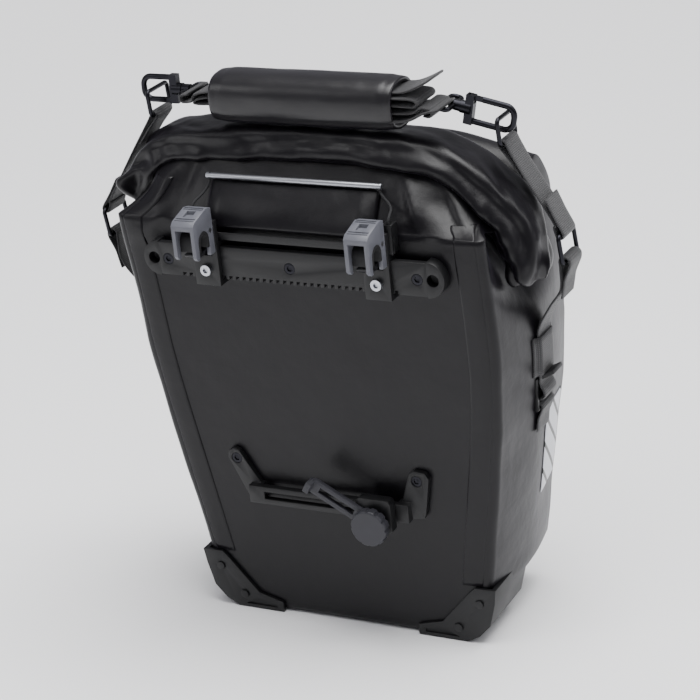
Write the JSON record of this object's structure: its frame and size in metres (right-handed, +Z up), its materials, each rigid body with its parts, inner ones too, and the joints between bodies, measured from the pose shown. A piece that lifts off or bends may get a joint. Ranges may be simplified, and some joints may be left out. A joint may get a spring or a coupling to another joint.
{
  "type": "bicycle pannier bag",
  "caption": "Roll-top pannier bag with an adjustable quick-release rack mount, a lower stabilising arm, compression straps and a clip-on padded shoulder strap.",
  "frame": {"origin": "centre of the flat base, on the ground", "axes": "+Z up, +Y away from the wheel (outwards), +X to the rear of the bicycle"},
  "size_m": [0.4118, 0.1885, 0.4545],
  "materials": {
    "tarpaulin": "welded, coated polyester fabric, satin",
    "lining": "fabric-backed foam board, matt",
    "board": "polyethylene sheet, matt",
    "webbing": "woven nylon webbing",
    "pad_mesh": "mesh over foam",
    "reflective": "retroreflective film, satin",
    "black_nylon": "injection-moulded nylon, fine texture",
    "grey_nylon": "injection-moulded nylon, satin",
    "acetal": "acetal, smooth",
    "rubber": "soft insert, matt",
    "cord": "braided cord",
    "zinc": "nickel-plated, bright",
    "steel": "zinc-plated, satin",
    "aluminium": "anodised, satin"
  },
  "bodies": {
    "bag": {"back_panel": "tarpaulin", "front_panel": "tarpaulin", "gusset_left": "tarpaulin", "gusset_right": "tarpaulin", "base_panel": "tarpaulin", "roll_top": "tarpaulin", "roll_stiffener": "board", "mouth_collar": "tarpaulin", "back_stiffener": "board", "base_board": "board", "inner_pocket": "lining", "mounting_rail": "black_nylon", "rail_screws": "steel", "rail_end_guards": "black_nylon", "cord_guides": "black_nylon", "handle_panel": "tarpaulin", "lower_rail": "black_nylon", "lower_screws": "steel", "bumper_front": "black_nylon", "bumper_rear": "black_nylon", "bumper_rivets": "steel", "end_straps": "webbing", "side_straps": "webbing", "strap_keepers": "webbing", "reflective_patches": "reflective", "shoulder_pad": "pad_mesh", "shoulder_strap": "webbing"},
    "pull_handle": {"release_bar": "black_nylon", "handle_rod": "aluminium", "pull_cords": "cord"},
    "lower_slider": {"slider": "black_nylon"},
    "rack_arm": {"swing_arm": "grey_nylon"},
    "clamp_knob": {"clamp_knob": "grey_nylon", "clamp_screw": "steel"},
    "hook_left": {"hook_carriage_left": "grey_nylon", "hook_screw_left": "steel", "hook_shell_left": "grey_nylon", "hook_liner_left": "rubber", "latch_pin_left": "steel", "latch_spring_left": "steel"},
    "latch_left": {"latch_left": "acetal"},
    "hook_right": {"hook_carriage_right": "grey_nylon", "hook_screw_right": "steel", "hook_shell_right": "grey_nylon", "hook_liner_right": "rubber", "latch_pin_right": "steel", "latch_spring_right": "steel"},
    "latch_right": {"latch_right": "acetal"},
    "d_ring_left": {"d_ring_left": "zinc"},
    "end_hook_left": {"end_hook_left": "zinc"},
    "ladder_lock_left": {"ladder_lock_left": "black_nylon"},
    "snap_eye_left": {"snap_eye_left": "zinc"},
    "snap_hook_left": {"snap_hook_left": "zinc"},
    "snap_gate_left": {"snap_gate_left": "zinc"},
    "d_ring_right": {"d_ring_right": "zinc"},
    "end_hook_right": {"end_hook_right": "zinc"},
    "ladder_lock_right": {"ladder_lock_right": "black_nylon"},
    "snap_eye_right": {"snap_eye_right": "zinc"},
    "snap_hook_right": {"snap_hook_right": "zinc"},
    "snap_gate_right": {"snap_gate_right": "zinc"}
  },
  "joints": [
    {"name": "handle_pull", "type": "slide", "parent": "bag", "child": "pull_handle", "axis": [0, 0, 1], "range_m": [0, 0.0053], "stiffness_N_per_m": 400, "springref_m": -0.005},
    {"name": "hook_left_slide", "type": "slide", "parent": "bag", "child": "hook_left", "axis": [1, 0, 0], "range_m": [0, 0.04]},
    {"name": "latch_left_turn", "type": "hinge", "parent": "hook_left", "child": "latch_left", "pos_m": [-0.0765, -0.08, 0.346], "axis": [1, 0, 0], "range_deg": [0, 32]},
    {"name": "hook_right_slide", "type": "slide", "parent": "bag", "child": "hook_right", "axis": [1, 0, 0], "range_m": [-0.04, 0]},
    {"name": "latch_right_turn", "type": "hinge", "parent": "hook_right", "child": "latch_right", "pos_m": [0.0725, -0.08, 0.346], "axis": [1, 0, 0], "range_deg": [0, 32]},
    {"name": "slider_slide", "type": "slide", "parent": "bag", "child": "lower_slider", "axis": [1, 0, 0], "range_m": [-0.085, 0]},
    {"name": "arm_swing", "type": "hinge", "parent": "lower_slider", "child": "rack_arm", "pos_m": [0.052, -0.0836, 0.108], "axis": [0, 1, 0], "range_deg": [-60, 60]},
    {"name": "knob_turn", "type": "hinge", "parent": "lower_slider", "child": "clamp_knob", "pos_m": [0.052, -0.09, 0.108], "axis": [0, 1, 0], "continuous": true},
    {"name": "ring_left_tilt", "type": "hinge", "parent": "bag", "child": "d_ring_left", "pos_m": [-0.148, 0, 0.414], "axis": [0, 1, 0], "range_deg": [-10, 10]},
    {"name": "end_hook_left_tilt", "type": "hinge", "parent": "bag", "child": "end_hook_left", "pos_m": [-0.207, 0, 0.33], "axis": [0, 1, 0], "range_deg": [-3, 3]},
    {"name": "lock_left_tilt", "type": "hinge", "parent": "bag", "child": "ladder_lock_left", "pos_m": [-0.15497, 0, 0.1855], "axis": [0, -1, 0], "range_deg": [0, 10]},
    {"name": "snap_eye_left_tilt", "type": "hinge", "parent": "bag", "child": "snap_eye_left", "pos_m": [-0.109, -0.002, 0.434], "axis": [0, 1, 0], "range_deg": [-4, 4]},
    {"name": "snap_left_swivel", "type": "hinge", "parent": "snap_eye_left", "child": "snap_hook_left", "pos_m": [-0.109, -0.002, 0.434], "axis": [-1, 0, 0], "range_deg": [-25, 25]},
    {"name": "gate_left_open", "type": "hinge", "parent": "snap_hook_left", "child": "snap_gate_left", "pos_m": [-0.131, -0.002, 0.4245], "axis": [0, 1, 0], "range_deg": [0, 25], "stiffness_Nm_per_rad": 0.02, "springref_deg": -17.19},
    {"name": "ring_right_tilt", "type": "hinge", "parent": "bag", "child": "d_ring_right", "pos_m": [0.151, 0.01, 0.402], "axis": [0, 1, 0], "range_deg": [-10, 10]},
    {"name": "end_hook_right_tilt", "type": "hinge", "parent": "bag", "child": "end_hook_right", "pos_m": [0.193, 0.01, 0.332], "axis": [0, 1, 0], "range_deg": [-3, 3]},
    {"name": "lock_right_tilt", "type": "hinge", "parent": "bag", "child": "ladder_lock_right", "pos_m": [0.1657, 0.01, 0.1855], "axis": [0, 1, 0], "range_deg": [0, 10]},
    {"name": "snap_eye_right_tilt", "type": "hinge", "parent": "bag", "child": "snap_eye_right", "pos_m": [0.103, 0.0045, 0.432], "axis": [0, 1, 0], "range_deg": [-4, 4]},
    {"name": "snap_right_swivel", "type": "hinge", "parent": "snap_eye_right", "child": "snap_hook_right", "pos_m": [0.103, 0.0045, 0.432], "axis": [0.9776, 0, -0.2102], "range_deg": [-25, 25]},
    {"name": "gate_right_open", "type": "hinge", "parent": "snap_hook_right", "child": "snap_gate_right", "pos_m": [0.12651, 0.0045, 0.43666], "axis": [0, 1, 0], "range_deg": [0, 25], "stiffness_Nm_per_rad": 0.02, "springref_deg": -17.19}
  ],
  "couplings": [
    {"joint": "latch_left_turn", "follows": "handle_pull", "rad_per_m": 105.3},
    {"joint": "latch_right_turn", "follows": "handle_pull", "rad_per_m": 105.3}
  ]
}
